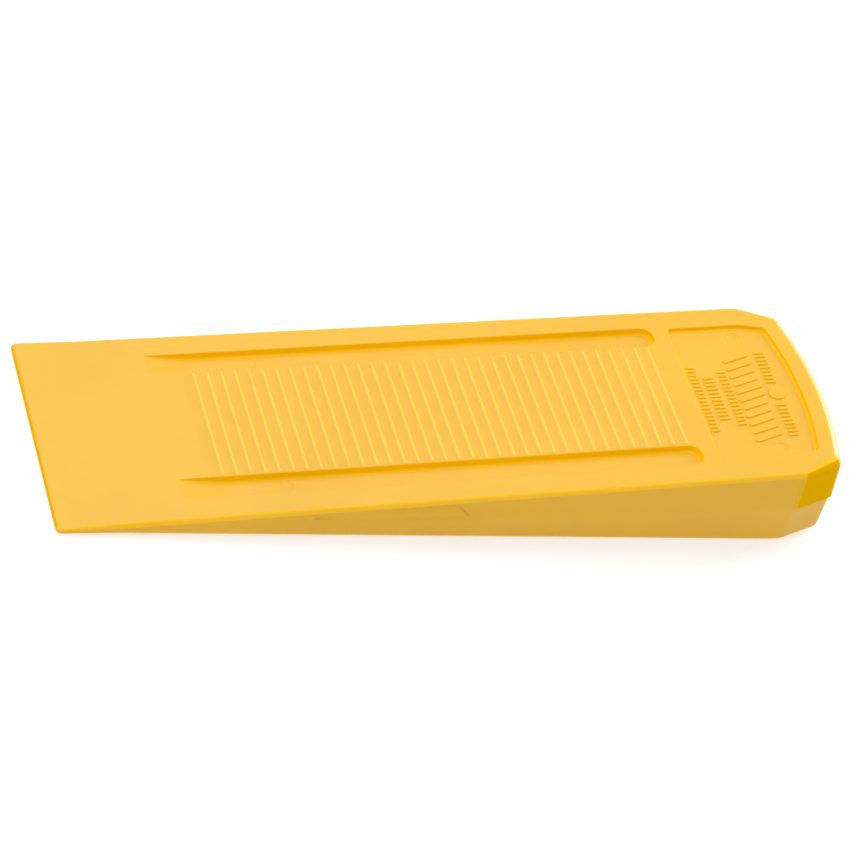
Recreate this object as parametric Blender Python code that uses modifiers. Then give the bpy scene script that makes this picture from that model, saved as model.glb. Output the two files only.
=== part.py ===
"""Felling wedge: a one-piece plastic wedge that a forester drives into a saw cut with a hammer.

The wedge is drawn in its own frame: x runs from the tip to the head, y across the width and z
through the thickness, with the parting plane of the moulding at z = 0.  Whatever is cut into or
raised on the upper bearing face is mirrored on the lower one.  The finished wedge is then turned
by half its taper angle, so that it lies on its lower face with its tip towards -X.
"""

import math

import bmesh
import bpy
from mathutils import Matrix, Vector

MM = 0.001

# Overall size.
LENGTH = 234.0 * MM
WIDTH = 71.4 * MM                       # widest, at the parting plane
TIP_THICKNESS = 1.6 * MM
HEAD_THICKNESS = 29.5 * MM
DRAFT = math.radians(4.75)              # the sides lean in from the parting plane
EDGE_RADIUS = 1.55 * MM                 # along the sides
HEAD_EDGE_RADIUS = 2.6 * MM             # along the struck end
EDGE_SEGMENTS = 4
TIP_EDGE_SHARE = 0.8                    # the edge radius stays under this share of the half thickness

# Plan outline.
HEAD_ARC_RADIUS = 125.3 * MM            # the struck end is convex
HEAD_CHAMFER_LENGTH = 13.3 * MM
HEAD_CHAMFER_INSET = 4.7 * MM
SIDE_CORNER_RADIUS = 5.0 * MM
HEAD_CORNER_RADIUS = 3.0 * MM
TIP_CORNER_RADIUS = 1.5 * MM
CORNER_STEPS = 4
HEAD_ARC_STEPS = 12

# The two chip channels beside the grip panel.
CHANNEL_OFFSET = 23.9 * MM              # from the middle of the wedge to the middle of a channel
CHANNEL_WIDTH = 7.4 * MM
CHANNEL_DEPTH = 1.8 * MM
CHANNEL_WALL_LEAN = math.radians(14)
CHANNEL_RAMP_START = 36.0 * MM
CHANNEL_RAMP_END = 49.6 * MM
CHANNEL_HEAD_END = 188.5 * MM
CHANNEL_END_STEPS = 10

# Grip ribs between the channels.
RIB_COUNT = 35
RIB_PITCH = 4.0 * MM
FIRST_RIB = 48.9 * MM
RIB_HALF_LENGTH = 19.9 * MM
RIB_HEIGHT = 0.35 * MM
RIB_BASE_WIDTH = 0.9 * MM
RIB_TOP_WIDTH = 0.4 * MM
RIB_END_LEAN = 0.25 * MM

# Sunk field at the head and the raised marks in it.
FIELD_START = 193.2 * MM
FIELD_BEND = 215.6 * MM
FIELD_HALF_WIDTH = 26.8 * MM
FIELD_END_HALF_WIDTH = 25.2 * MM
FIELD_RIM = 8.0 * MM                    # left between the field and the struck end
FIELD_DEPTH = 1.1 * MM
FIELD_WALL_LEAN = math.radians(12)
FIELD_CORNER_RADIUS = 1.5 * MM
MARK_HEIGHT = 0.5 * MM
DISC_PLACE = (219.2 * MM, -1.0 * MM)
DISC_RADIUS = 2.5 * MM
DISC_STEPS = 24
# Rows of bars across the field, in mm: x, half length, middle of the row, count, pitch, slant, width.
BAR_ROWS = ((195.8, 1.25, -1.6, 18, 1.5, 0.0, 0.8), (200.1, 1.7, -1.6, 12, 1.5, 0.0, 0.8),
            (204.9, 1.35, -1.8, 15, 1.5, 0.0, 0.8), (211.2, 4.3, -2.0, 11, 3.2, 2.6, 1.3),
            (219.0, 1.6, 9.6, 9, 1.5, 0.0, 0.7), (219.0, 1.6, -11.8, 9, 1.5, 0.0, 0.7))

ABOVE = 1.0 * MM                        # how far a cutter stands out of the face
BELOW = 0.6 * MM                        # how far an added shape reaches under its base

SHARP_ANGLE = math.radians(30)
PLASTIC_COLOUR = (0.95, 0.50, 0.06, 1.0)
PLASTIC_ROUGHNESS = 0.42

TAPER = (HEAD_THICKNESS - TIP_THICKNESS) / 2 / LENGTH


def half_thickness(x):
    """Height of the upper bearing face over the parting plane at x."""
    return TIP_THICKNESS / 2 + TAPER * x


def clear_scene():
    for obj in list(bpy.data.objects):
        bpy.data.objects.remove(obj)


def new_collection(name, hidden=False):
    collection = bpy.data.collections.new(name)
    bpy.context.scene.collection.children.link(collection)
    collection.hide_render = hidden
    return collection


def new_object(name, mesh_builder, collection):
    bm = bmesh.new()
    mesh_builder(bm)
    bmesh.ops.recalc_face_normals(bm, faces=bm.faces[:])
    mesh = bpy.data.meshes.new(name)
    bm.to_mesh(mesh)
    bm.free()
    mesh.shade_smooth()
    mesh.set_sharp_from_angle(angle=SHARP_ANGLE)
    obj = bpy.data.objects.new(name, mesh)
    collection.objects.link(obj)
    return obj


def rounded_corner(corner, before, after, radius, steps):
    """Points along a corner that is walked clockwise and rounded, each with the way it moves out.

    All of them move together along the corner's bisector, so an inset keeps the radius.
    """
    way_in = (corner - before).normalized()
    way_out = (after - corner).normalized()
    normal_in = Vector((-way_in.y, way_in.x))
    turn = way_in.angle(way_out)
    centre = corner - way_in * radius * math.tan(turn / 2) - normal_in * radius
    bisector = Matrix.Rotation(-turn / 2, 2) @ normal_in / math.cos(turn / 2)
    points = []
    for step in range(steps + 1):
        normal = Matrix.Rotation(-turn * step / steps, 2) @ normal_in
        points.append((centre + normal * radius, bisector))
    return points


def arc_points(centre_x, radius, half_width, steps):
    """Points and normals of an arc about (centre_x, 0), from +half_width to -half_width."""
    limit = math.asin(half_width / radius)
    points = []
    for step in range(steps + 1):
        angle = limit * (1 - 2 * step / steps)
        normal = Vector((math.cos(angle), math.sin(angle)))
        points.append((Vector((centre_x, 0)) + normal * radius, normal))
    return points


def mirrored(points):
    """The same points and normals on the other side of the x axis, in reverse order."""
    flip = Vector((1, -1))
    return [(point * flip, normal * flip) for point, normal in reversed(points)]


def headed_outline(start, bend, half_width, end_half_width, arc_x, radii, arc_steps):
    """Outline with a straight start, straight sides, a bend inwards and a convex end.

    arc_x is where the convex end crosses the middle.  Its centre is that of the struck end.
    """
    arc_centre = LENGTH - HEAD_ARC_RADIUS
    arc_radius = arc_x - arc_centre
    end_x = arc_centre + math.sqrt(arc_radius ** 2 - end_half_width ** 2)
    end_slope = end_half_width / (end_x - arc_centre)
    first = Vector((start, half_width))
    second = Vector((bend, half_width))
    third = Vector((end_x, end_half_width))
    beyond = third + Vector((end_slope, -1))
    start_radius, bend_radius, end_radius = radii
    side = rounded_corner(first, Vector((start, 0)), second, start_radius, CORNER_STEPS)
    side += rounded_corner(second, first, third, bend_radius, CORNER_STEPS)
    side += rounded_corner(third, second, beyond, end_radius, CORNER_STEPS)
    arc = arc_points(arc_centre, arc_radius, side[-1][0].y, arc_steps)
    return side + arc[1:-1] + mirrored(side)


def add_loop(bm, corners):
    """A closed loop of edges through points."""
    verts = [bm.verts.new(corner) for corner in corners]
    return [bm.edges.new(pair) for pair in zip(verts, verts[1:] + verts[:1])]


def add_ring(bm, outline, inset_and_height):
    """A loop that follows an outline, moved in by an inset and raised to a height."""
    corners = []
    for point, normal in outline:
        inset, height = inset_and_height(point)
        moved = point - normal * inset
        corners.append((moved.x, moved.y, height(moved.x)))
    return add_loop(bm, corners)


def skin(bm, rings):
    """Bridge each ring to the next and close the first and the last."""
    for lower, upper in zip(rings, rings[1:]):
        bmesh.ops.bridge_loops(bm, edges=lower + upper)
    for ring in (rings[0], rings[-1]):
        bmesh.ops.contextual_create(bm, geom=ring)


def head_sagitta():
    """How far the struck end falls back between its middle and its chamfers."""
    half_chord = WIDTH / 2 - HEAD_CHAMFER_INSET
    return HEAD_ARC_RADIUS - math.sqrt(HEAD_ARC_RADIUS ** 2 - half_chord ** 2)


CHAMFER_START = LENGTH - HEAD_CHAMFER_LENGTH - head_sagitta()


def edge_radius(x):
    """Radius of the round edge at x: thin at the tip, even along the sides, growing on the chamfers."""
    share = min(max((x - CHAMFER_START) / HEAD_CHAMFER_LENGTH, 0.0), 1.0)
    radius = EDGE_RADIUS + (HEAD_EDGE_RADIUS - EDGE_RADIUS) * share
    return min(radius, TIP_EDGE_SHARE * half_thickness(x))


def build_body(bm):
    """Lower face, round edge, drafted wall out to the parting plane and back up to the upper face."""
    outline = headed_outline(0.0, CHAMFER_START, WIDTH / 2, WIDTH / 2 - HEAD_CHAMFER_INSET, LENGTH,
                             (TIP_CORNER_RADIUS, SIDE_CORNER_RADIUS, HEAD_CORNER_RADIUS),
                             HEAD_ARC_STEPS)

    def round_edge(angle, side):
        def level(point):
            radius = edge_radius(point.x)
            wall = half_thickness(point.x) - radius
            inset = wall * math.tan(DRAFT) + radius * (1 - math.cos(angle))
            return inset, lambda x: side * (half_thickness(x) - radius * (1 - math.sin(angle)))
        return level

    angles = [math.pi / 2 * step / EDGE_SEGMENTS for step in range(EDGE_SEGMENTS + 1)]
    levels = [round_edge(angle, -1) for angle in reversed(angles)]
    levels.append(lambda point: (0.0, lambda x: 0.0))
    levels += [round_edge(angle, 1) for angle in angles]
    skin(bm, [add_ring(bm, outline, level) for level in levels])


def drafted_block(bm, outline, top, bottom, lean):
    """A block between two heights over the top face, its walls leaning in going down."""
    def level(height):
        return lambda point: (-height * math.tan(lean), lambda x: half_thickness(x) + height)
    skin(bm, [add_ring(bm, outline, level(height)) for height in (bottom, top)])


def build_channel(bm, side):
    """Cutter for one channel: square and ramped at the tip end, round at the head end."""
    radius = CHANNEL_WIDTH / 2
    start = CHANNEL_RAMP_START - 2 * ABOVE
    first = Vector((start, radius))
    square = rounded_corner(first, Vector((start, 0)), Vector((CHANNEL_HEAD_END, radius)),
                            radius / 2, CORNER_STEPS)
    round_end = arc_points(CHANNEL_HEAD_END - radius, radius, radius, CHANNEL_END_STEPS)
    shift = Vector((0, side * CHANNEL_OFFSET))
    outline = [(point + shift, normal) for point, normal in square + round_end + mirrored(square)]
    drafted_block(bm, outline, ABOVE, -CHANNEL_DEPTH, CHANNEL_WALL_LEAN)
    ramp_start = Vector((CHANNEL_RAMP_START, 0, half_thickness(CHANNEL_RAMP_START)))
    ramp_end = Vector((CHANNEL_RAMP_END, 0, half_thickness(CHANNEL_RAMP_END) - CHANNEL_DEPTH))
    ramp_normal = (ramp_end - ramp_start).cross(Vector((0, 1, 0)))
    cut = bmesh.ops.bisect_plane(bm, geom=bm.verts[:] + bm.edges[:] + bm.faces[:],
                                 plane_co=ramp_start, plane_no=ramp_normal, clear_inner=True)
    rim = [item for item in cut["geom_cut"] if isinstance(item, bmesh.types.BMEdge)]
    bmesh.ops.contextual_create(bm, geom=rim)


def build_field(bm):
    """Cutter for the sunk field at the head."""
    outline = headed_outline(FIELD_START, FIELD_BEND, FIELD_HALF_WIDTH, FIELD_END_HALF_WIDTH,
                             LENGTH - FIELD_RIM, (FIELD_CORNER_RADIUS,) * 3, HEAD_ARC_STEPS)
    drafted_block(bm, outline, ABOVE, -FIELD_DEPTH, FIELD_WALL_LEAN)


def rectangle(x, y, half_length, half_width):
    """Corners of a rectangle about (x, y): half_length lies along x and half_width along y."""
    return [(x - half_length, y - half_width), (x + half_length, y - half_width),
            (x + half_length, y + half_width), (x - half_length, y + half_width)]


def add_face_loop(bm, corners, height):
    """A loop of points that all lie at one height over the top face."""
    return add_loop(bm, [(x, y, half_thickness(x) + height) for x, y in corners])


def build_ribs(bm):
    """All grip ribs: long low prisms whose four sides lean in towards a narrow top."""
    for index in range(RIB_COUNT):
        x = FIRST_RIB + index * RIB_PITCH
        foot = rectangle(x, 0.0, RIB_BASE_WIDTH / 2, RIB_HALF_LENGTH)
        top = rectangle(x, 0.0, RIB_TOP_WIDTH / 2, RIB_HALF_LENGTH - RIB_END_LEAN)
        skin(bm, [add_face_loop(bm, foot, -BELOW), add_face_loop(bm, foot, 0.0),
                  add_face_loop(bm, top, RIB_HEIGHT)])


def bar_row(x, reach, middle, count, pitch, slant, width):
    """Corners of each bar in a row; slant moves a bar's head end across the wedge."""
    for index in range(count):
        y = middle + (index - (count - 1) / 2) * pitch
        near, far = y - slant / 2, y + slant / 2
        bar = [(x - reach, near - width / 2), (x + reach, far - width / 2),
               (x + reach, far + width / 2), (x - reach, near + width / 2)]
        yield [(px * MM, py * MM) for px, py in bar]


def disc_corners():
    """Corners of the plain disc between the ticks."""
    x, y = DISC_PLACE
    angles = [2 * math.pi * step / DISC_STEPS for step in range(DISC_STEPS)]
    return [(x + DISC_RADIUS * math.cos(a), y + DISC_RADIUS * math.sin(a)) for a in angles]


def build_marks(bm):
    """Raised plain marks in the field: rows of pips, slanted bars, ticks and a disc."""
    shapes = [bar for row in BAR_ROWS for bar in bar_row(*row)] + [disc_corners()]
    for corners in shapes:
        skin(bm, [add_face_loop(bm, corners, -FIELD_DEPTH - BELOW),
                  add_face_loop(bm, corners, -FIELD_DEPTH + MARK_HEIGHT)])


def apply_boolean(body, tool, operation, solver="EXACT"):
    """Cut or add a tool and its mirror image, so that both bearing faces are the same."""
    mirror = tool.modifiers.new("other_face", "MIRROR")
    mirror.use_axis = (False, False, True)
    mirror.use_mirror_merge = False
    modifier = body.modifiers.new(tool.name, "BOOLEAN")
    modifier.operation = operation
    modifier.solver = solver
    modifier.object = tool
    tool.parent = body
    tool.hide_render = True
    tool.display_type = "WIRE"


def plastic_material():
    material = bpy.data.materials.new("yellow_polyamide")
    material.use_nodes = True
    shader = material.node_tree.nodes["Principled BSDF"]
    shader.inputs["Base Color"].default_value = PLASTIC_COLOUR
    shader.inputs["Roughness"].default_value = PLASTIC_ROUGHNESS
    shader.inputs["Metallic"].default_value = 0.0
    return material


def lay_on_lower_face(body):
    """Turn the wedge onto its lower face, that face level, and centre it over the origin."""
    half_angle = math.atan(TAPER)
    body.rotation_euler = (0, -half_angle, 0)
    turn = Matrix.Rotation(-half_angle, 4, "Y")
    bpy.context.view_layer.update()
    evaluated = body.evaluated_get(bpy.context.evaluated_depsgraph_get())
    corners = [turn @ vert.co for vert in evaluated.data.vertices]
    lows = [min(corner[axis] for corner in corners) for axis in range(3)]
    highs = [max(corner[axis] for corner in corners) for axis in range(3)]
    body.location = (-(lows[0] + highs[0]) / 2, -(lows[1] + highs[1]) / 2, -lows[2])


def main():
    clear_scene()
    parts = new_collection("felling_wedge")
    cutters = new_collection("cutters", hidden=True)
    body = new_object("wedge_body", build_body, parts)
    body.data.materials.append(plastic_material())
    for name, side in (("channel_left", -1), ("channel_right", 1)):
        channel = new_object(name, lambda bm, side=side: build_channel(bm, side), cutters)
        apply_boolean(body, channel, "DIFFERENCE")
    apply_boolean(body, new_object("head_field", build_field, cutters), "DIFFERENCE")
    apply_boolean(body, new_object("grip_ribs", build_ribs, cutters), "UNION")
    apply_boolean(body, new_object("head_marks", build_marks, cutters), "UNION", "MANIFOLD")
    lay_on_lower_face(body)


main()
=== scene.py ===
"""Felling wedge: the finished surface of a one-piece moulded plastic wedge.

The wedge is drawn in its own frame, in millimetres: x runs from the tip to the struck end, y across
the width, and z through the thickness, with the parting line of the mould near z = 0.  Everything
on a bearing face is placed by (x, y) and by w, its height over that face.  At the end the points are
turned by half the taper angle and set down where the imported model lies.
"""

import math

import bmesh
import bpy
import numpy as np
from bpy.props import FloatProperty, FloatVectorProperty, IntProperty, PointerProperty
from bpy.types import Operator, Panel, PropertyGroup
from mathutils import Matrix, Vector
from mathutils.geometry import delaunay_2d_cdt


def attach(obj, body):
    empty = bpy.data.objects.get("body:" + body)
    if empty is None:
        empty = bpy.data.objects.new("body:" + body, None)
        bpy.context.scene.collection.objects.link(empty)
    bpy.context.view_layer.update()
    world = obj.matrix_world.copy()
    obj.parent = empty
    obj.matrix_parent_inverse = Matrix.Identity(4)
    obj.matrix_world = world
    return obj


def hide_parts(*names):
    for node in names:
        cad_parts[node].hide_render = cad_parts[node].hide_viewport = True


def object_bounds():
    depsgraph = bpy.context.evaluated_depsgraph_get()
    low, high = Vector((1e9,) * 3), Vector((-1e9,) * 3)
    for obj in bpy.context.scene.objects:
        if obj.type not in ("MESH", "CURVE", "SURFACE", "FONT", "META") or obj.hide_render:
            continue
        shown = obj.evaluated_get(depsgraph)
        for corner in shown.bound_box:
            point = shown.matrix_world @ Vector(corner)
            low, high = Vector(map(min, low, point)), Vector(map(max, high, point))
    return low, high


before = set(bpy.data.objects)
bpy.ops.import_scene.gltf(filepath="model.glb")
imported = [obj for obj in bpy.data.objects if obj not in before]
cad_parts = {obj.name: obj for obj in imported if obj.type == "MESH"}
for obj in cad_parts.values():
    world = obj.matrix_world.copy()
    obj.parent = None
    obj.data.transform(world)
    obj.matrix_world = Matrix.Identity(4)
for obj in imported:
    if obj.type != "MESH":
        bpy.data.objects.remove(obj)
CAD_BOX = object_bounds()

bl_info = {
    "name": "Felling Wedge",
    "version": (1, 0, 0),
    "blender": (4, 5, 0),
    "location": "3D View > Sidebar > Wedge",
    "description": "Builds a moulded plastic felling wedge with its relief and finish",
    "category": "Add Mesh",
}

MM = 0.001
UPPER, LOWER = 1, -1
LEAST_CORNER = 0.05  # plan radius that a round corner keeps when it is moved in
FREE = 1e9           # radius of a point that no inset uses up

# Finishes of the plastic, in the order of the piece's material slots: roughness, shine and the
# strength of the skin grain.  Only smooth and grip are the plastic's own finishes; the others are
# copies whose colour and shine paint in light and shade: painted light on the walls, edges and
# ramps, painted highlights on the ribs' crests and the struck end's rim, painted shade on the
# sides, and the facets' reflection painted out.
FINISHES = {
    "smooth": (0.40, 0.42, 0.12),
    "grip": (0.44, 0.44, 0.45),
    "facet": (0.45, 0.0, 0.12),
    "wall": (0.42, 0.08, 0.10),
    "crest": (0.36, 0.48, 0.05),
    "edge": (0.40, 0.34, 0.10),
    "side": (0.42, 0.34, 0.12),
    "blend": (0.44, 0.17, 0.12),
    "rim": (0.36, 1.0, 0.05),
    "ramp": (0.41, 0.36, 0.12),
}
SMOOTH, GRIP, FACET_REFLECTION_PAINTED_OUT, WALL_PAINTED_LIGHT, CREST_PAINTED_HIGHLIGHT, EDGE_PAINTED_LIGHT, SIDE_PAINTED_SHADE, PAINTED_REFLECTION_FADE, RIM_PAINTED_HIGHLIGHT, RAMP_PAINTED_LIGHT = range(len(FINISHES))
SHARP_ANGLE = math.radians(32.0)

# Corners of the outline in plan, and how finely the outer skin is divided
TIP_CORNER, BEND_CORNER, HEAD_CORNER = 1.5, 9.0, 3.2
CORNER_STEPS, EDGE_STEPS, UPPER_WALL_STEPS, LOWER_WALL_STEPS = 8, 8, 24, 5
POINT_SPACING, COARSE, FINE = 2.6, 2.0, 0.25

# Trimmed gate on the right-hand wall: its ends along the wedge, its height over the parting line,
# how far its ends lean, and how proud it is at the start, a little further on and at the end
GATE_START, GATE_END = 71.5, 117.0
GATE_LOW, GATE_HIGH, GATE_LEAN = 1.7, 5.2, 3.6
GATE_TILT, GATE_RISE = (-0.40, 0.08, 0.50), 12.0

# Where the painted light and shade of the outer skin change, as the sideways share of its normal:
# the facets, whose reflection is painted out, lie between the first two, and a painted fade of the
# reflection takes them back to the side walls' painted shade up to the third; the tip, its
# reflection painted out too, and the rim of the struck end, with its painted highlight, lie under
# the next two.  The head's finishes start a little before the chamfers.
FACET_FROM, BLEND_FROM, BLEND_TO = 0.6, 0.975, 0.997
TIP_BELOW, RIM_BELOW, HEAD_LEAD = 0.5, 0.3, 1.8

# Relief: lean of its walls from upright, radii of their rims and feet, and corners of the field
SUNK_LEAN, MARK_LEAN = math.radians(14.0), math.radians(9.0)
CHANNEL_ROUNDS, FIELD_ROUNDS, MARK_ROUNDS = (0.28, 0.9), (0.4, 0.6), (0.06, 0.12)
FIELD_CORNERS = (1.5, 2.5, 1.8)

# Ejector pins: x and radius in the channels, and x, distance from the middle and radius in the field
CHANNEL_PIN = (66.3, 2.3)
FIELD_PIN = (213.6, 22.6, 2.1)

# Rows of raised marks: x, half length along x, middle in y, count, pitch in y, slant and width; and
# the disc among them: x, y and radius
MARK_ROWS = (
    (195.9, 1.2, -1.6, 18, 1.5, 0.0, 0.8),
    (200.1, 1.7, -1.6, 12, 1.5, 0.0, 0.8),
    (204.9, 1.35, -1.8, 15, 1.5, 0.0, 0.8),
    (211.2, 4.3, -2.0, 11, 3.2, 2.6, 1.3),
    (219.0, 1.6, 9.6, 9, 1.5, 0.0, 0.7),
    (219.0, 1.6, -11.8, 9, 1.5, 0.0, 0.7),
)
MARK_DISC = (219.2, -1.0, 2.5)

# Stage: light from all round, glow of the floor, half width and cells of the floor, the hair's
# breadth that it lies under the wedge, and the soft lights: place, aim, width, height and power
SKY_STRENGTH, FLOOR_GLOW = 0.78, 0.54
FLOOR_REACH, FLOOR_CELLS, FLOOR_GAP = 3.0, 8, 0.02 * MM
LIGHTS = {
    "overhead": ((-0.16, 0.50, 1.0), (0.0, 0.0, 0.0), 1.1, 0.9, 6.3),
    "head_side": ((0.85, 0.35, 0.45), (0.08, 0.0, 0.02), 0.32, 0.52, 5.2),
    "front_fill": ((-0.75, -0.45, 0.55), (0.0, 0.0, 0.0), 0.9, 0.6, 2.0),
}


# ---------------------------------------------------------------------------------------------
# Settings
# ---------------------------------------------------------------------------------------------

def millimetres(name, description, default):
    """A length that is given in millimetres and kept in metres."""
    return FloatProperty(name=name, description=description, default=default * MM, unit="LENGTH",
                         subtype="DISTANCE", precision=5)


def degrees(name, description, default):
    """An angle that is given in degrees and kept in radians."""
    return FloatProperty(name=name, description=description, default=math.radians(default),
                         unit="ROTATION", subtype="ANGLE")


def colour(name, description, default):
    """A colour, as red, green and blue shares of light."""
    return FloatVectorProperty(name=name, description=description, default=default, size=3,
                               subtype="COLOR", min=0.0, max=1.0)


class WedgeSizes(PropertyGroup):
    """Outer shape of the wedge."""
    length: millimetres("Length", "From the tip to the middle of the struck end", 234.6)
    width: millimetres("Width", "At the parting line", 71.4)
    tip_thickness: millimetres("Tip thickness", "Thickness at the driven tip", 1.6)
    head_thickness: millimetres("Head thickness", "Thickness at the struck end", 29.5)
    draft: degrees("Upper draft", "Lean of the side walls over the parting line", 4.75)
    lower_draft: degrees("Lower draft", "Lean of the side walls under the parting line", 3.2)
    edge_radius: millimetres("Edge radius", "Round edge along the sides", 1.55)
    head_edge_radius: millimetres("Head edge radius", "Round edge along the struck end", 3.2)
    head_arc: millimetres("Head arc", "Plan radius of the convex struck end", 121.0)
    chamfer_length: millimetres("Chamfer length", "Head chamfer along the wedge", 13.3)
    chamfer_inset: millimetres("Chamfer inset", "Head chamfer across the wedge", 4.7)
    parting_rise: millimetres("Parting rise", "Parting line over the middle at the head", 0.4)
    mould_step: millimetres("Mould step", "How far the lower half falls short at the head", 0.45)


class ReliefSizes(PropertyGroup):
    """What is sunk into, or stands on, each bearing face."""
    channel_offset: millimetres("Channel offset", "Middle of the wedge to a channel", 23.9)
    channel_width: millimetres("Channel width", "Between the rims", 7.4)
    channel_depth: millimetres("Channel depth", "Under the bearing face", 1.8)
    ramp_start: millimetres("Ramp start", "Where the channels begin to sink", 36.0)
    ramp_end: millimetres("Ramp end", "Where they reach full depth", 53.0)
    channel_end: millimetres("Channel end", "Tip to the round ends of the channels", 188.5)
    rib_count: IntProperty(name="Ribs", description="Grip ribs on each face", default=35, min=1)
    rib_pitch: millimetres("Rib pitch", "Middle to middle", 4.0)
    first_rib: millimetres("First rib", "Tip to the first rib", 48.9)
    rib_half_length: millimetres("Rib half length", "Across the wedge", 19.85)
    rib_width: millimetres("Rib width", "At the foot", 1.0)
    rib_height: millimetres("Rib height", "Over the bearing face", 0.26)
    grip_start: millimetres("Grip start", "Where the fine grain begins", 45.0)
    grip_end: millimetres("Grip end", "Where the fine grain ends", 185.6)
    field_start: millimetres("Field start", "Tip to the sunk field at the head", 193.2)
    field_bend: millimetres("Field bend", "Where the field's sides turn in", 215.6)
    field_half_width: millimetres("Field half width", "Along its straight sides", 26.8)
    field_end_half: millimetres("Field end half width", "At its convex end", 25.2)
    field_rim: millimetres("Field rim", "Left between the field and the struck end", 8.0)
    field_depth: millimetres("Field depth", "Under the bearing face", 1.1)
    mark_height: millimetres("Mark height", "Raised marks over the field's floor", 0.38)
    pin_depth: millimetres("Pin depth", "Sunk circles left by the ejector pins", 0.2)


class PlasticLook(PropertyGroup):
    """Base colours of the moulded polyamide, one for each finish, and the light it carries.  Only
    the smooth and grip colours are the plastic's own; the others are lighter or darker copies of it
    that paint in light, shade, highlights and reflection.
    """
    smooth: colour("Smooth skin", "Plain moulded faces", (0.69, 0.382, 0.009))
    grip: colour("Grip skin", "Grained face between the ribs", (0.69, 0.378, 0.009))
    # Painted shade: the facets and the tip get this slightly darker copy of the plastic, with no
    # blue and no shine in FINISHES, so that they show no reflection
    facet: colour("Facets", "Dull corner facets at the head", (0.67, 0.36, 0.0))
    # Painted light: the walls of the channels, the field and the marks, and the top of the facets'
    # round edge, get this much lighter copy of the plastic
    wall: colour("Walls", "Walls of the channels and fields", (0.85, 0.47, 0.0))
    # Painted highlight: the ribs get this lighter, glossier copy of the plastic, which stands in for
    # the light they catch
    crest: colour("Crests", "Grip ribs, burnished by use", (0.81, 0.475, 0.028))
    # Painted light: the round edges of both halves and the walls of the pin circles get this lighter
    # copy of the plastic
    edge: colour("Edges", "Round edges", (0.81, 0.452, 0.004))
    # Painted shade: the side walls, the struck end and the lower walls get this slightly darker,
    # less glossy copy of the plastic
    side: colour("Sides", "Side walls and struck end", (0.67, 0.366, 0.006))
    # Painted fade of the reflection: this copy, with half the sides' shine in FINISHES, lies between
    # the side walls and the facets so that their reflection fades out
    blend: colour("Blend", "Where the side walls turn into the dull facets", (0.67, 0.363, 0.003))
    # Painted highlight: the round edge of the struck end gets this lighter, very glossy copy of the
    # plastic
    rim: colour("Rim", "Round edge of the struck end", (0.82, 0.485, 0.025))
    # Painted light: the ramp floors of the channels get this slightly yellower copy of the plastic
    ramp: colour("Ramps", "Where the channels run out", (0.692, 0.386, 0.006))
    glow: colour("Glow", "How far each colour of light travels in the plastic", (1.0, 0.55, 0.10))
    glow_depth: millimetres("Glow depth", "Depth that light reaches", 1.2)


class StageLook(PropertyGroup):
    """Camera, floor and lights."""
    azimuth: degrees("Azimuth", "Direction the camera looks, from +Y", -30.2008)
    elevation: degrees("Elevation", "Camera over the horizon", 40.9732)
    roll: degrees("Roll", "Turn of the camera about its own axis", 22.2962)
    distance: FloatProperty(name="Distance", description="Camera to its aim", default=0.98237,
                            unit="LENGTH")
    lens: FloatProperty(name="Lens", description="Focal length on a 36 mm sensor", default=146.889,
                        unit="CAMERA")
    aim: FloatVectorProperty(name="Aim", description="Point in the middle of the view",
                             default=(-0.00495, -0.0036, 0.012), subtype="TRANSLATION")
    floor_colour: colour("Floor", "Pale floor", (0.48, 0.48, 0.48))


# ---------------------------------------------------------------------------------------------
# Outlines: four arrays over the same points, walked clockwise: plan points (n, 2), their outward
# normals (n, 2), the mitre correction (n, 2) and the radius (n) of the corner each belongs to
# ---------------------------------------------------------------------------------------------

def corner_arc(corner, before, after, radius, steps):
    """Rounds a corner.  Points lie on a circle of that radius that touches both straight runs;
    normals swing evenly from the normal of the first run to that of the second."""
    corner, before, after = (np.array(p, float) for p in (corner, before, after))
    way_in = (corner - before) / np.linalg.norm(corner - before)
    way_out = (after - corner) / np.linalg.norm(after - corner)
    turn = math.acos(np.clip(way_in @ way_out, -1.0, 1.0))
    side = math.copysign(1.0, way_in[1] * way_out[0] - way_in[0] * way_out[1])
    normal = np.array([-way_in[1], way_in[0]])
    centre = corner - way_in * radius * math.tan(turn / 2) - side * normal * radius
    angles = np.linspace(0.0, turn, steps + 1)[:, None]
    normals = np.cos(angles) * normal + side * np.sin(angles) * way_in
    middle = math.cos(turn / 2) * normal + side * math.sin(turn / 2) * way_in
    mitre = normals - middle / math.cos(turn / 2)
    kept = radius if side > 0 else FREE
    return centre + side * normals * radius, normals, mitre, np.full(steps + 1, kept)


def swing(centre, radius, start, end, steps):
    """Arc about a centre between two angles: centre + radius (cos, sin), normals outward."""
    angles = np.linspace(start, end, steps + 1)
    normals = np.column_stack([np.cos(angles), np.sin(angles)])
    return np.array(centre) + radius * normals, normals, 0 * normals, np.full(steps + 1, FREE)


def joined(runs, spacing, stations=()):
    """Joins arcs into one closed outline, with even points on the straight runs between them.
    Runs along x take their points from the stations instead, if there are any."""
    parts = []
    for here, following in zip(runs, runs[1:] + runs[:1]):
        parts.append(here)
        start, gap = here[0][-1], following[0][0] - here[0][-1]
        count = int(np.linalg.norm(gap) // spacing)
        share = (np.arange(count) + 1.0) / (count + 1)
        if len(stations) and abs(gap[1]) < 1e-6:
            share = (np.array(stations) - start[0]) / gap[0]
            share = np.sort(share[(share > 0.0) & (share < 1.0)])
        parts.append((start + share[:, None] * gap, np.repeat(here[1][-1:], len(share), axis=0),
                      np.zeros((len(share), 2)), np.full(len(share), FREE)))
    return tuple(np.concatenate(arrays) for arrays in zip(*parts))


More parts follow.
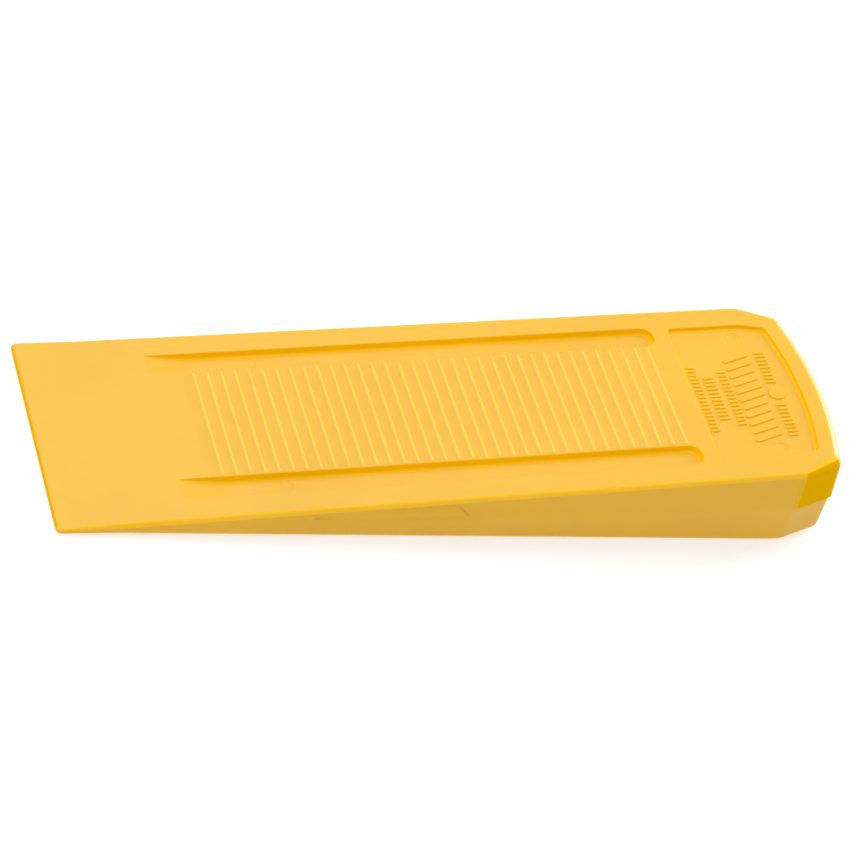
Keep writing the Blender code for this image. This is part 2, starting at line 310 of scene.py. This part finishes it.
def moved_in(outline, inset, even=False):
    """Moves an outline in by an inset, one number for each point.  Round corners shrink with the
    inset down to LEAST_CORNER, and past that the whole corner slides in along its bisector; if
    even is set they keep their radius and only slide."""
    points, normals, mitre, radius = outline
    extra = inset if even else np.maximum(inset - radius + LEAST_CORNER, 0.0)
    return points - normals * inset[:, None] + mitre * extra[:, None]


def flipped(run):
    """The same run on the other side of the x axis, walked the other way."""
    points, normals, mitre, radius = (part[::-1] for part in run)
    return points * (1.0, -1.0), normals * (1.0, -1.0), mitre * (1.0, -1.0), radius


def headed_outline(start, bend, half, end_half, arc_centre, arc_radius, radii, steps, spacing,
                   stations=()):
    """Outline with a square start, straight sides, a bend inwards and a convex end: the end is an
    arc about (arc_centre, 0), and every corner is rounded."""
    end = arc_centre + math.sqrt(arc_radius ** 2 - end_half ** 2)
    first, second, third = (start, half), (bend, half), (end, end_half)
    beyond = (end + end_half / (end - arc_centre), end_half - 1.0)
    runs = [corner_arc(first, (start, 0.0), second, radii[0], steps),
            corner_arc(second, first, third, radii[1], steps),
            corner_arc(third, second, beyond, radii[2], steps)]
    last = runs[-1][0][-1]
    limit = math.atan2(last[1], last[0] - arc_centre)
    cap = swing((arc_centre, 0.0), arc_radius, limit, -limit, 3 * steps)
    cap = tuple(part[1:-1] for part in cap)
    return joined(runs + [cap] + [flipped(run) for run in reversed(runs)], spacing, stations)


def rounded_polygon(corners, radius, steps=4):
    """Closed outline through corners given clockwise, each rounded by the same radius."""
    count = len(corners)
    runs = [corner_arc(corners[i], corners[i - 1], corners[(i + 1) % count], radius, steps)
            for i in range(count)]
    return joined(runs, FREE)


def slanted_bar(x, y, half_length, half_width, slant, radius, steps=4):
    """Rounded bar along x about (x, y), whose far end lies the slant further across than its near
    end."""
    near, far = y - slant / 2, y + slant / 2
    corners = [(x - half_length, near - half_width), (x - half_length, near + half_width),
               (x + half_length, far + half_width), (x + half_length, far - half_width)]
    return rounded_polygon(corners, radius, steps)


def disc(x, y, radius, steps):
    """Full circle, clockwise, without repeating its first point."""
    return tuple(part[:-1] for part in swing((x, y), radius, math.pi, -math.pi, steps))


def eased(x, start, length):
    """Climbs from nought at the start to one a length further on as 3 s^2 - 2 s^3."""
    share = np.clip((x - start) / length, 0.0, 1.0)
    return share * share * (3 - 2 * share)


def wall_section(depth, lean, rim, foot, steps=5, lead=0.12):
    """Section through a wall, as (inset, drop) from a flat face to a floor: a round rim, a straight
    wall that leans by an angle from upright, and a round foot.  The two arcs touch the flats, and
    each turns by a quarter turn less the lean.  A flat lead goes before the rim and after the
    foot."""
    turn = math.pi / 2 - lean
    reach = math.tan(turn / 2)
    angles = np.linspace(0.0, turn, steps + 1)
    rim_arc = np.column_stack([rim * (np.sin(angles) - reach), rim * (1 - np.cos(angles))])
    corner = depth * math.tan(lean)
    foot_arc = np.column_stack([corner + foot * (reach - np.sin(angles)),
                                depth - foot * (1 - np.cos(angles))])[::-1]
    lead_in = [[-rim * reach - lead, 0.0]]
    lead_out = [[corner + foot * reach + lead, depth]]
    return np.vstack([lead_in, rim_arc, foot_arc, lead_out])


# ---------------------------------------------------------------------------------------------
# Shell: collects rings, strips and fills into one closed mesh
# ---------------------------------------------------------------------------------------------

class Shell:
    """Points and faces of one closed surface, kept as arrays."""

    def __init__(self):
        self.points, self.count = [], 0
        self.quads, self.quad_slots, self.triangles, self.triangle_slots = [], [], [], []

    def add(self, points):
        """Adds points (n, 3) and returns their numbers."""
        self.points.append(points)
        self.count += len(points)
        return np.arange(self.count - len(points), self.count)

    def strip(self, ring, following, slots=SMOOTH):
        """Quads between two closed rings with the same number of points."""
        self.quads.append(np.column_stack([ring, np.roll(ring, -1),
                                           np.roll(following, -1), following]))
        self.quad_slots.append(np.zeros(len(ring), int) + slots)

    def strips(self, rings, slots=SMOOTH):
        """Quads between each ring and the next."""
        for ring, following in zip(rings, rings[1:]):
            self.strip(ring, following, slots)

    def fill(self, outer, holes, slots=SMOOTH, extra=(), lines=()):
        """Triangles inside a ring and outside its holes, in plan; all the rings are convex, so a
        triangle lies in a hole if all its corners are that hole's.  extra holds the numbers of
        loose points, and lines the open runs of points that the triangles have to follow.  slots
        is one slot, or a function that gives each triangle's from its middle."""
        everything = np.vstack(self.points)
        rings = [outer, *holes]
        numbers = np.concatenate([*rings, *lines, np.array(extra, int)])
        edges, start = [], 0
        for ring in rings:
            local = np.arange(len(ring)) + start
            edges.append(np.column_stack([local, np.roll(local, -1)]))
            start += len(ring)
        for line in lines:
            local = np.arange(len(line)) + start
            edges.append(np.column_stack([local[:-1], local[1:]]))
            start += len(line)
        plan = everything[numbers, :2].tolist()
        found = delaunay_2d_cdt(plan, np.vstack(edges).tolist(), [], 1, 1e-6)
        if len(found[0]) != len(plan):
            raise RuntimeError(f"a fill made {len(found[0]) - len(plan)} points of its own")
        origin = np.array(found[3])[:, 0]
        triangles = origin[np.array(found[2])]
        owner = np.repeat(np.arange(len(rings)), [len(ring) for ring in rings])
        owner = np.concatenate([owner, -1 - np.arange(len(numbers) - len(owner))])[triangles]
        in_hole = (owner[:, 0] > 0) & (owner == owner[:, :1]).all(axis=1)
        triangles = numbers[triangles[~in_hole]]
        self.triangles.append(triangles)
        middle = everything[triangles].mean(axis=1)
        chosen = slots(middle) if callable(slots) else slots
        self.triangle_slots.append(np.zeros(len(triangles), int) + chosen)

    def mesh(self, name, place):
        """Builds the mesh: quads are shaded smooth and fills flat, and faces point outwards."""
        quads, triangles = np.vstack(self.quads), np.vstack(self.triangles)
        faces = quads.tolist() + triangles.tolist()
        data = bpy.data.meshes.new(name)
        data.from_pydata(place(np.vstack(self.points)).tolist(), [], faces)
        smooth = np.arange(len(faces)) < len(quads)
        slots = np.concatenate(self.quad_slots + self.triangle_slots)
        data.polygons.foreach_set("use_smooth", smooth)
        data.polygons.foreach_set("material_index", slots)
        work = bmesh.new()
        work.from_mesh(data)
        bmesh.ops.recalc_face_normals(work, faces=work.faces[:])
        work.to_mesh(data)
        work.free()
        data.set_sharp_from_angle(angle=SHARP_ANGLE)
        data.update()
        return data


# ---------------------------------------------------------------------------------------------
# The wedge
# ---------------------------------------------------------------------------------------------

class WedgeShape:
    """Works out the wedge's surface from the sizes, in millimetres."""

    def __init__(self, sizes, relief):
        for group in (sizes, relief):
            for key in group.bl_rna.properties.keys():
                value = getattr(group, key)
                if isinstance(value, float):
                    angle = group.bl_rna.properties[key].subtype == "ANGLE"
                    setattr(self, key, value if angle else value / MM)
        self.rib_count = relief.rib_count
        self.taper = (self.head_thickness - self.tip_thickness) / 2 / self.length
        end_half = self.width / 2 - self.chamfer_inset
        self.arc_centre = self.length - self.head_arc
        self.chamfer_end = self.arc_centre + math.sqrt(self.head_arc ** 2 - end_half ** 2)
        self.chamfer_start = self.chamfer_end - self.chamfer_length
        self.shell = Shell()

    def half_thickness(self, x):
        """Half of the tip's thickness, plus the taper's slope times x."""
        return self.tip_thickness / 2 + self.taper * x

    def over_face(self, side, points, w):
        """Points (n, 2) at height w over the upper or lower bearing face."""
        z = self.half_thickness(points[:, 0]) + w
        return np.column_stack([points, side * z])

    # -- outer skin ------------------------------------------------------------------------

    def edge_radius_at(self, x):
        """Even along the sides, growing over the chamfers, and at most 0.8 of the half thickness."""
        growth = eased(x, self.chamfer_start, self.chamfer_length)
        radius = self.edge_radius + (self.head_edge_radius - self.edge_radius) * growth
        return np.minimum(radius, 0.8 * self.half_thickness(x))

    def parting_height(self, x):
        """Height of the parting line: it climbs evenly from the tip to the head."""
        return self.parting_rise * x / self.length

    def side_ring(self, side, outline, angle=None, share=None, lead=0.0):
        """Ring at an angle round the edge, or at a share of the wall from the parting line up to
        the edge.  Inset of the wall is its height over the parting line times tan(draft); round
        the edge radius * (1 - cos(angle)) is added, and the height falls radius * (1 - sin(angle))
        short of the bearing face."""
        points, normals = outline[:2]
        x = points[:, 0]
        radius = self.edge_radius_at(x)
        parting = side * self.parting_height(x)
        wall = self.half_thickness(x) - radius - parting
        slope = math.tan(self.draft) if side == UPPER else self.lower_slope(x)
        step = 0.0 if side == UPPER else self.step_at(x)
        if angle is not None:
            inset = wall * slope + radius * (1 - math.cos(angle)) + step + lead
            drop = radius * (1 - math.sin(angle))
            return self.over_face(side, moved_in(outline, inset, even=True), -drop)
        rise = wall * share
        inset = rise * slope + step
        z = side * (rise + parting)
        inset = inset - self.gate_scar(side, points, normals, z)
        return np.column_stack([moved_in(outline, inset, even=True), z])

    def lower_slope(self, x):
        """Lean of the lower walls, as a slope: tan(draft) along the sides, falling over the
        chamfers to 0.15 of that, near upright, at the struck end."""
        growth = eased(x, self.chamfer_start, self.chamfer_length)
        return math.tan(self.lower_draft) * (1.0 - 0.85 * growth)

    def step_at(self, x):
        """How far the lower mould half falls short: a hair along the sides, growing over the 12 mm
        about the start of the chamfers."""
        return 0.02 + self.mould_step * eased(x, self.chamfer_start - 6.0, 12.0)

    def gate_scar(self, side, points, normals, z):
        """The trimmed gate on the right-hand wall: a flat cut in the shape of a trapezium whose
        surface is tilted, low at its tip end and proud at its head end.  At each border it fades
        over the distance that the height over the border is divided by."""
        x = points[:, 0]
        lean = GATE_LEAN * np.clip((z - GATE_LOW) / (GATE_HIGH - GATE_LOW), 0.0, 1.0)
        along = np.minimum(x - GATE_START - lean, GATE_END - lean - x)
        ceiling = self.half_thickness(x) - self.edge_radius_at(x) - 0.1
        inside = np.clip(along / 0.45, 0.0, 1.0) * np.clip((z - GATE_LOW) / 0.2, 0.0, 1.0)
        inside = inside * np.clip((ceiling - z) / 0.9, 0.0, 1.0)
        tilt = np.interp(x, [GATE_START, GATE_START + GATE_RISE, GATE_END], GATE_TILT)
        wall = (normals[:, 1] < -0.999) & (side == UPPER)
        return np.where(wall, inside * tilt, 0.0)

    def skin_outline(self):
        """Outline at the parting line, with its points closer together at the gate's two ends."""
        start, end = GATE_START, GATE_END
        stations = np.concatenate([np.arange(3.0, start - 0.5, COARSE),
                                   np.arange(start - 0.5, start + 4.5, FINE),
                                   np.arange(start + 4.5, end - 4.5, COARSE),
                                   np.arange(end - 4.5, end + 0.5, FINE),
                                   np.arange(end + 1.0, self.chamfer_start - 2.0, COARSE)])
        corners = (TIP_CORNER, BEND_CORNER, HEAD_CORNER)
        half = self.width / 2
        return headed_outline(0.0, self.chamfer_start, half, half - self.chamfer_inset,
                              self.arc_centre, self.head_arc, corners, CORNER_STEPS,
                              POINT_SPACING, stations)

    def skin_slots(self, outline):
        """Finishes of the upper half for each point of the outline: on the top of the round edge,
        on the rest of it, and on the wall.  They follow how far the normal turns sideways, and paint
        in light and shade.  On the facets the top of the round edge gets the walls' painted light
        and the rest gets the copy with its reflection painted out, which the tip gets everywhere.
        The rim of the struck end gets a painted highlight, the other round edges painted light and
        the walls painted shade, with a painted fade of the reflection between the walls and the
        facets."""
        beside = np.abs(outline[1][:, 1])
        headward = outline[0][:, 0] > self.chamfer_start - HEAD_LEAD
        facet = headward & (beside > FACET_FROM) & (beside < BLEND_FROM)
        blend = headward & (beside >= BLEND_FROM) & (beside < BLEND_TO)
        tip = ~headward & (beside < TIP_BELOW)
        wall_slots = np.where(facet | tip, FACET_REFLECTION_PAINTED_OUT, np.where(blend, PAINTED_REFLECTION_FADE, SIDE_PAINTED_SHADE))
        edge_slots = np.where(tip, FACET_REFLECTION_PAINTED_OUT, np.where(headward & (beside < RIM_BELOW), RIM_PAINTED_HIGHLIGHT, EDGE_PAINTED_LIGHT))
        return np.where(facet, WALL_PAINTED_LIGHT, edge_slots), np.where(facet, FACET_REFLECTION_PAINTED_OUT, edge_slots), wall_slots

    def outer_skin(self):
        """Skin from the upper face round the side to the lower face; returns the two face rims.
        On each half a lead ring lies on the bearing face, EDGE_STEPS + 1 rings go round the edge,
        and the others go down the wall."""
        outline = self.skin_outline()
        shell, rims, halves = self.shell, {}, {}
        edge_angles = np.linspace(math.pi / 2, 0.0, EDGE_STEPS + 1)
        wall_steps = {UPPER: UPPER_WALL_STEPS, LOWER: LOWER_WALL_STEPS}
        slots = {UPPER: self.skin_slots(outline), LOWER: (EDGE_PAINTED_LIGHT, EDGE_PAINTED_LIGHT, SIDE_PAINTED_SHADE)}
        brow, cheek, wall = 2, EDGE_STEPS // 2, EDGE_STEPS
        for side in (UPPER, LOWER):
            shares = np.linspace(1.0, 0.0, wall_steps[side] + 1)[1:]
            rings = [shell.add(self.side_ring(side, outline, angle=math.pi / 2, lead=0.2))]
            rings += [shell.add(self.side_ring(side, outline, angle=a)) for a in edge_angles]
            rings += [shell.add(self.side_ring(side, outline, share=s)) for s in shares]
            shell.strips(rings[:brow + 1])
            shell.strips(rings[brow:cheek + 1], slots[side][0])
            shell.strips(rings[cheek:wall + 1], slots[side][1])
            shell.strips(rings[wall:], slots[side][2])
            rims[side], halves[side] = rings[0], rings[-1]
        shell.strip(halves[UPPER], halves[LOWER], SIDE_PAINTED_SHADE)
        return rims

    # -- relief ----------------------------------------------------------------------------

    def follow(self, side, outline, section, base=0.0, scale=None, rising=False, slot=SMOOTH):
        """Carries a wall section round an outline: each (inset, drop) of the section gives one
        ring, moved in along the normals and down from (or up over) the base height.  scale, one
        number for each point, shrinks the section where the wall gets lower.  The first rings
        of a wall's rim keep the smooth finish of the face when the wall gets the lighter copy that
        paints in light."""
        scale = np.ones(len(outline[0])) if scale is None else scale
        rings = []
        for inset, drop in section:
            w = base + (drop if rising else -drop) * scale
            rings.append(self.shell.add(self.over_face(side, moved_in(outline, inset * scale), w)))
        self.shell.strips(rings[:4], SMOOTH if slot == WALL_PAINTED_LIGHT else slot)
        self.shell.strips(rings[3:], slot)
        return rings[0], rings[-1]

    def pin_mark(self, side, x, y, radius, base):
        """Circle sunk by the ejector pin, with a shallow step round it: each pair is an inset and
        the share of the pin's depth that is reached there."""
        section = np.array([[0.0, 0.0], [0.05, 0.02], [0.14, 0.7], [0.22, 0.96], [0.3, 1.0]])
        section[:, 1] *= self.pin_depth
        # The pin circles' walls carry the round edges' painted light
        rim, floor = self.follow(side, disc(x, y, radius, 40), section, base, slot=EDGE_PAINTED_LIGHT)
        self.shell.fill(floor, [])
        return rim

    def channel(self, side, hand):
        """One channel: a long slot, ramped at its tip end and round at its head end.  The wall
        section shrinks with the depth of the ramp."""
        half = self.channel_width / 2
        y = hand * self.channel_offset
        start, beyond = self.ramp_start, self.ramp_start + 1.0
        square = [corner_arc((start, y - half), (beyond, y - half), (start, y), 1.0, 3),
                  corner_arc((start, y + half), (start, y), (beyond, y + half), 1.0, 3)]
        end = swing((self.channel_end - half, y), half, math.pi / 2, -math.pi / 2, 28)
        outline = joined(square + [end], 1.6)
        section = wall_section(self.channel_depth, SUNK_LEAN, *CHANNEL_ROUNDS)
        scale = self.ramp(outline[0][:, 0])
        # The channel walls carry painted light
        rim, floor = self.follow(side, outline, section, scale=scale, slot=WALL_PAINTED_LIGHT)
        pin = self.pin_mark(side, CHANNEL_PIN[0], y, CHANNEL_PIN[1], -self.channel_depth)
        across = np.linspace(-1.0, 1.0, 5) * (half - 1.3)
        along = np.linspace(self.ramp_start + 1.5, self.ramp_end + 2.0, 24)
        grid_x, grid_y = np.meshgrid(along, y + across)
        plan = np.column_stack([grid_x.ravel(), grid_y.ravel()])
        sunk = -self.channel_depth * self.ramp(plan[:, 0])
        extra = self.shell.add(self.over_face(side, plan, sunk))

        # The ramp's floor, up to 3 mm before its end, carries painted light
        def slots(middle):
            return np.where(middle[:, 0] < self.ramp_end - 3.0, RAMP_PAINTED_LIGHT, SMOOTH)

        self.shell.fill(floor, [pin], slots, extra)
        return rim

    def ramp(self, x):
        """Share of the full depth at x: 1.5 s - 0.5 s^3 with s from nought to one, so the ramp
        starts at an angle and runs out level; never under 0.02."""
        share = np.clip((x - self.ramp_start) / (self.ramp_end - self.ramp_start), 0.0, 1.0)
        return np.maximum(1.5 * share - 0.5 * share ** 3, 0.02)

    def ribs(self, side):
        """Low rounded ribs across the grip panel, each a bar whose rings climb by the rises as
        they move in by the insets; returns the rings of their feet."""
        half, height = self.rib_width / 2, self.rib_height
        insets = np.array([0.0, 0.05, 0.14, 0.24, 0.34, 0.44])
        rises = height * np.array([0.0, 0.06, 0.45, 0.82, 0.97, 1.0])
        section = np.column_stack([insets, rises])
        feet = []
        for index in range(self.rib_count):
            x = self.first_rib + index * self.rib_pitch
            outline = slanted_bar(x, 0.0, half, self.rib_half_length, 0.0, half * 0.98, 5)
            # The ribs' lighter colour is a painted highlight
            foot, top = self.follow(side, outline, section, rising=True, slot=CREST_PAINTED_HIGHLIGHT)
            self.shell.fill(top, [], CREST_PAINTED_HIGHLIGHT)
            feet.append(foot)
        return feet

    def mark_outlines(self):
        """Outlines of the plain raised marks: rows of bars, and a disc."""
        outlines = []
        for x, reach, middle, count, pitch, slant, width in MARK_ROWS:
            for y in middle + (np.arange(count) - (count - 1) / 2) * pitch:
                outlines.append(slanted_bar(x, y, reach, width / 2, slant, 0.42 * width))
        outlines.append(disc(*MARK_DISC, 32))
        return outlines

    def field(self, side):
        """Sunk field at the head with its raised marks and two pin circles."""
        arc_radius = self.length - self.field_rim - self.arc_centre
        outline = headed_outline(self.field_start, self.field_bend, self.field_half_width,
                                 self.field_end_half, self.arc_centre, arc_radius,
                                 FIELD_CORNERS, 6, 3.0)
        section = wall_section(self.field_depth, SUNK_LEAN, *FIELD_ROUNDS)
        # The walls of the field and, below, of the marks carry painted light
        rim, floor = self.follow(side, outline, section, slot=WALL_PAINTED_LIGHT)
        base = -self.field_depth
        raised = wall_section(self.mark_height, MARK_LEAN, *MARK_ROUNDS, steps=3, lead=0.03)
        holes = []
        for outline in self.mark_outlines():
            foot, top = self.follow(side, outline, raised, base, rising=True, slot=WALL_PAINTED_LIGHT)
            self.shell.fill(top, [])
            holes.append(foot)
        x, offset, radius = FIELD_PIN
        holes += [self.pin_mark(side, x, hand * offset, radius, base) for hand in (-1, 1)]
        self.shell.fill(floor, holes)
        return rim

    def face(self, side, rim):
        """Flat bearing face between its rim and everything sunk into it or raised on it."""
        holes = [self.channel(side, hand) for hand in (-1, 1)]
        holes.append(self.field(side))
        holes += self.ribs(side)

        half = self.channel_offset - self.channel_width / 2
        across = np.linspace(-half + 0.4, half - 0.4, 9)
        lines = []
        for x in (self.grip_start, self.grip_end):
            plan = np.column_stack([np.full(len(across), x), across])
            lines.append(self.shell.add(self.over_face(side, plan, 0.0)))

        def slots(middle):
            inside = (middle[:, 0] > self.grip_start) & (middle[:, 0] < self.grip_end)
            inside &= np.abs(middle[:, 1]) < half
            return np.where(inside, GRIP, SMOOTH)

        self.shell.fill(rim, holes, slots, lines=lines)

    def build(self):
        """Outer skin and both faces, as one shell."""
        rims = self.outer_skin()
        for side in (UPPER, LOWER):
            self.face(side, rims[side])
        return self.shell

    def settle(self, points):
        """Turns the wedge by half its taper about Y, so that the lower face is level, and sets it
        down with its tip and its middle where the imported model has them.  Millimetres become
        metres."""
        angle = -math.atan(self.taper)
        turned = points.copy()
        turned[:, 0] = points[:, 0] * math.cos(angle) + points[:, 2] * math.sin(angle)
        turned[:, 2] = points[:, 2] * math.cos(angle) - points[:, 0] * math.sin(angle)
        turned *= MM
        low, high = (np.array(corner) for corner in CAD_BOX)
        shift = low - turned.min(axis=0)
        shift[1] = (low + high)[1] / 2
        return turned + shift


# ---------------------------------------------------------------------------------------------
# Materials
# ---------------------------------------------------------------------------------------------

def add_node(tree, kind, **inputs):
    """Adds a node; keywords that name a property set it, the others set an input's value."""
    node = tree.nodes.new(kind)
    for key, value in inputs.items():
        if hasattr(node, key):
            setattr(node, key, value)
        else:
            node.inputs[key.replace("_", " ")].default_value = value
    return node


def plastic(name, look, base, roughness, shine, grain_strength):
    """Moulded polyamide: warm body colour with faint clouding, a little light carried under the
    skin, fine skin grain in the bump and slightly uneven gloss."""
    material = bpy.data.materials.new(name)
    material.use_nodes = True
    tree = material.node_tree
    shader = tree.nodes["Principled BSDF"]
    shader.inputs["IOR"].default_value = 1.53
    shader.inputs["Specular IOR Level"].default_value = shine
    shader.inputs["Subsurface Weight"].default_value = 0.25
    shader.inputs["Subsurface Radius"].default_value = tuple(look.glow)
    shader.inputs["Subsurface Scale"].default_value = look.glow_depth
    place = add_node(tree, "ShaderNodeTexCoord")

    cloud = add_node(tree, "ShaderNodeTexNoise", Scale=28.0, Detail=3.0, Roughness=0.5)
    tree.links.new(place.outputs["Object"], cloud.inputs["Vector"])
    tint = add_node(tree, "ShaderNodeValToRGB")
    tint.color_ramp.elements[0].position = 0.3
    tint.color_ramp.elements[1].position = 0.7
    tint.color_ramp.elements[0].color = tuple(c * 0.965 for c in base) + (1.0,)
    tint.color_ramp.elements[1].color = tuple(min(c * 1.02, 1.0) for c in base) + (1.0,)
    tree.links.new(cloud.outputs["Fac"], tint.inputs["Fac"])
    tree.links.new(tint.outputs["Color"], shader.inputs["Base Color"])

    gloss = add_node(tree, "ShaderNodeTexNoise", Scale=160.0, Detail=2.0)
    tree.links.new(place.outputs["Object"], gloss.inputs["Vector"])
    spread = add_node(tree, "ShaderNodeMapRange")
    spread.inputs["To Min"].default_value = roughness - 0.05
    spread.inputs["To Max"].default_value = roughness + 0.05
    tree.links.new(gloss.outputs["Fac"], spread.inputs["Value"])
    tree.links.new(spread.outputs["Result"], shader.inputs["Roughness"])

    grain = add_node(tree, "ShaderNodeTexNoise", Scale=1800.0, Detail=4.0, Roughness=0.6)
    tree.links.new(place.outputs["Object"], grain.inputs["Vector"])
    bump = add_node(tree, "ShaderNodeBump", Strength=grain_strength, Distance=0.0002)
    tree.links.new(grain.outputs["Fac"], bump.inputs["Height"])
    tree.links.new(bump.outputs["Normal"], shader.inputs["Normal"])
    return material


def floor_material(tone):
    """Pale matte studio table, faintly lit from inside, with a barely visible mottling."""
    material = bpy.data.materials.new("studio_floor")
    material.use_nodes = True
    tree = material.node_tree
    shader = tree.nodes["Principled BSDF"]
    shader.inputs["Roughness"].default_value = 0.9
    shader.inputs["Specular IOR Level"].default_value = 0.1
    shader.inputs["Emission Color"].default_value = (1.0, 1.0, 1.0, 1.0)
    shader.inputs["Emission Strength"].default_value = FLOOR_GLOW
    place = add_node(tree, "ShaderNodeTexCoord")
    mottle = add_node(tree, "ShaderNodeTexNoise", Scale=3.0, Detail=2.0)
    tree.links.new(place.outputs["Object"], mottle.inputs["Vector"])
    tint = add_node(tree, "ShaderNodeValToRGB")
    tint.color_ramp.elements[0].color = tuple(c * 0.985 for c in tone) + (1.0,)
    tint.color_ramp.elements[1].color = tuple(tone) + (1.0,)
    tree.links.new(mottle.outputs["Fac"], tint.inputs["Fac"])
    tree.links.new(tint.outputs["Color"], shader.inputs["Base Color"])
    return material


# ---------------------------------------------------------------------------------------------
# Operators
# ---------------------------------------------------------------------------------------------

class WEDGE_OT_body(Operator):
    """Build the moulded wedge with its channels, ribs, sunk field and marks"""
    bl_idname = "wedge.body"
    bl_label = "Wedge body"

    def execute(self, context):
        scene = context.scene
        look = scene.wedge_plastic
        shape = WedgeShape(scene.wedge_sizes, scene.wedge_relief)
        data = shape.build().mesh("wedge_moulding", shape.settle)
        piece = bpy.data.objects.new("wedge_moulding", data)
        scene.collection.objects.link(piece)
        # Every finish past smooth and grip makes a material that paints light or shade into the
        # plastic's colour: polyamide_wall, polyamide_edge and polyamide_ramp paint in light,
        # polyamide_rim a highlight, polyamide_side shade
        for name, (roughness, shine, grain) in FINISHES.items():
            base = getattr(look, name)
            data.materials.append(plastic(f"polyamide_{name}", look, base, roughness, shine, grain))
        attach(piece, "root")
        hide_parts("wedge_body")
        return {"FINISHED"}


def softbox(name, location, aim, width, height, power):
    """Rectangular soft white light that faces its aim."""
    data = bpy.data.lights.new(name, "AREA")
    data.shape = "RECTANGLE"
    data.size, data.size_y = width, height
    data.energy = power
    light = bpy.data.objects.new(name, data)
    light.location = location
    light.rotation_euler = (Vector(aim) - Vector(location)).to_track_quat("-Z", "Y").to_euler()
    bpy.context.scene.collection.objects.link(light)


class WEDGE_OT_stage(Operator):
    """Set up the pale floor, the soft studio light and the camera"""
    bl_idname = "wedge.stage"
    bl_label = "Stage"

    def execute(self, context):
        scene = context.scene
        look = scene.wedge_stage
        self.add_floor(scene, look)
        self.add_lights(scene)
        self.add_camera(scene, look)
        scene.view_settings.view_transform = "Standard"
        return {"FINISHED"}

    def add_floor(self, scene, look):
        """Level square grid of cells under the wedge."""
        side = FLOOR_CELLS + 1
        across = np.linspace(-FLOOR_REACH, FLOOR_REACH, side)
        grid_x, grid_y = np.meshgrid(across, across)
        low = CAD_BOX[0][2] - FLOOR_GAP
        points = np.column_stack([grid_x.ravel(), grid_y.ravel(), np.full(grid_x.size, low)])
        row = np.arange(FLOOR_CELLS)
        corner = (row[:, None] * side + row[None, :]).ravel()
        faces = np.column_stack([corner, corner + 1, corner + side + 1, corner + side])
        data = bpy.data.meshes.new("floor")
        data.from_pydata(points.tolist(), [], faces.tolist())
        data.materials.append(floor_material(look.floor_colour))
        floor = bpy.data.objects.new("floor", data)
        scene.collection.objects.link(floor)

    def add_lights(self, scene):
        """Even light from all round, and the soft lights."""
        world = bpy.data.worlds.new("studio")
        world.use_nodes = True
        sky = world.node_tree.nodes["Background"]
        sky.inputs["Color"].default_value = (1.0, 1.0, 1.0, 1.0)
        sky.inputs["Strength"].default_value = SKY_STRENGTH
        scene.world = world
        for name, settings in LIGHTS.items():
            softbox(name, *settings)

    def add_camera(self, scene, look):
        """Places the camera on a ray from its aim, turned by azimuth, elevation and roll."""
        flat = math.cos(look.elevation)
        away = Vector((math.sin(look.azimuth) * flat, -math.cos(look.azimuth) * flat,
                       math.sin(look.elevation)))
        data = bpy.data.cameras.new("camera")
        data.lens = look.lens
        data.sensor_width = 36.0
        data.clip_start = 0.05
        camera = bpy.data.objects.new("camera", data)
        camera.location = Vector(look.aim) + away * look.distance
        facing = (-away).to_track_quat("-Z", "Y").to_matrix().to_4x4()
        turn = facing @ Matrix.Rotation(look.roll, 4, "Z")
        camera.rotation_euler = turn.to_euler()
        scene.collection.objects.link(camera)
        scene.camera = camera


class WEDGE_PT_panel(Panel):
    """Lists the wedge's pieces"""
    bl_idname = "WEDGE_PT_panel"
    bl_label = "Felling Wedge"
    bl_space_type = "VIEW_3D"
    bl_region_type = "UI"
    bl_category = "Wedge"

    def draw(self, context):
        column = self.layout.column()
        column.operator(WEDGE_OT_body.bl_idname)
        column.operator(WEDGE_OT_stage.bl_idname)
        for group in (context.scene.wedge_sizes, context.scene.wedge_relief,
                      context.scene.wedge_plastic, context.scene.wedge_stage):
            box = self.layout.box()
            for key in group.bl_rna.properties.keys():
                if key not in ("rna_type", "name"):
                    box.prop(group, key)


CLASSES = (WedgeSizes, ReliefSizes, PlasticLook, StageLook, WEDGE_OT_body, WEDGE_OT_stage,
           WEDGE_PT_panel)
GROUPS = {"wedge_sizes": WedgeSizes, "wedge_relief": ReliefSizes, "wedge_plastic": PlasticLook,
          "wedge_stage": StageLook}


def register():
    """Registers the classes and hangs the settings on the scene."""
    for cls in CLASSES:
        bpy.utils.register_class(cls)
    for name, group in GROUPS.items():
        setattr(bpy.types.Scene, name, PointerProperty(type=group))


def unregister():
    """Takes the settings off the scene and removes the classes."""
    for name in GROUPS:
        delattr(bpy.types.Scene, name)
    for cls in reversed(CLASSES):
        bpy.utils.unregister_class(cls)


def main():
    """Build the wedge and its stage."""
    register()
    bpy.ops.wedge.body()
    bpy.ops.wedge.stage()


if __name__ == "__main__":
    main()
